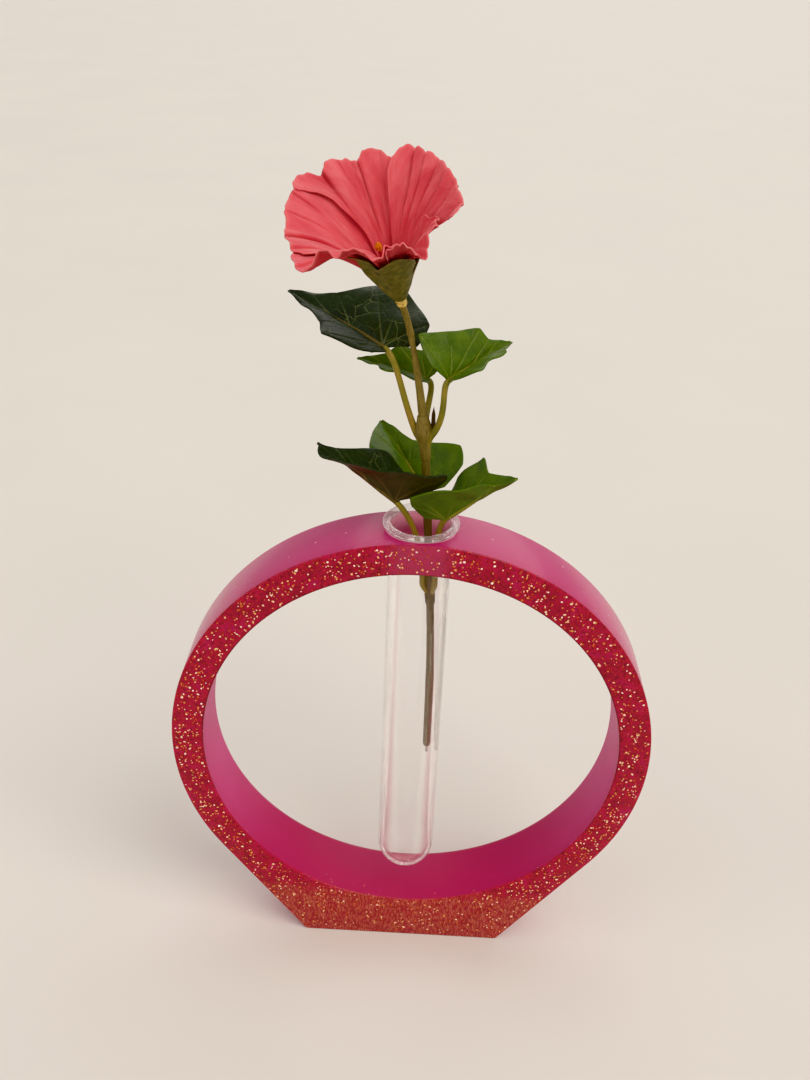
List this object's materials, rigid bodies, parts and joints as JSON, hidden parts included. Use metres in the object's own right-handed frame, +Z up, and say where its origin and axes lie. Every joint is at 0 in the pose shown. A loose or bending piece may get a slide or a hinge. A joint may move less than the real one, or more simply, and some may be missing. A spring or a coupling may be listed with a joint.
{
  "type": "tube vase",
  "caption": "Ring-shaped resin vase on a flat foot; a glass test tube hangs through its crown and holds an artificial flower spray that lifts out.",
  "frame": {"origin": "middle of the flat underside of the ring's foot, below the tube's axis", "axes": "+Z up along the tube, -Y out of the ring's flat glittering front face, +X to the right seen from the front"},
  "size_m": [0.16, 0.0724, 0.2785],
  "materials": {
    "resin": "clear crimson cast resin with gold glitter, glossy",
    "tube_glass": "clear",
    "stem": "satin olive brown",
    "wire": "bare cut wire",
    "stalk": "satin yellow olive",
    "leaf_dark": "satin dark green with pale veins",
    "leaf_bright": "satin yellow green with lighter veins",
    "ferrule": "matt pale yellow",
    "calyx": "matt olive green",
    "petal": "pleated coral crepe cloth",
    "stamen_tip": "matt orange"
  },
  "bodies": {
    "ring": {"resin_ring": "resin"},
    "tube": {"test_tube": "tube_glass"},
    "spray": {"main_stem": "stem", "stem_wire": "wire", "lower_leaf_whorl": "stalk", "upper_leaf_whorl": "stalk", "lower_leaf_left": "leaf_dark", "lower_leaf_back": "leaf_bright", "lower_leaf_right": "leaf_bright", "upper_leaf_left": "leaf_dark", "upper_leaf_back": "leaf_bright", "upper_leaf_right": "leaf_bright", "flower_ferrule": "ferrule"},
    "flower_head": {"calyx": "calyx", "petal_1": "petal", "petal_2": "petal", "petal_3": "petal", "petal_4": "petal", "petal_5": "petal", "stamen_column": "petal", "stamen_tip": "stamen_tip"}
  },
  "joints": [
    {"name": "tube_lift", "type": "slide", "parent": "ring", "child": "tube", "axis": [0, 0, 1], "range_m": [0, 0.145]},
    {"name": "spray_lift", "type": "slide", "parent": "tube", "child": "spray", "axis": [0, 0, 1], "range_m": [0, 0.1]},
    {"name": "flower_turn", "type": "hinge", "parent": "spray", "child": "flower_head", "pos_m": [-0.0089, -0.0032, 0.2399], "axis": [-0.24, -0.4201, 0.8752], "continuous": true}
  ]
}
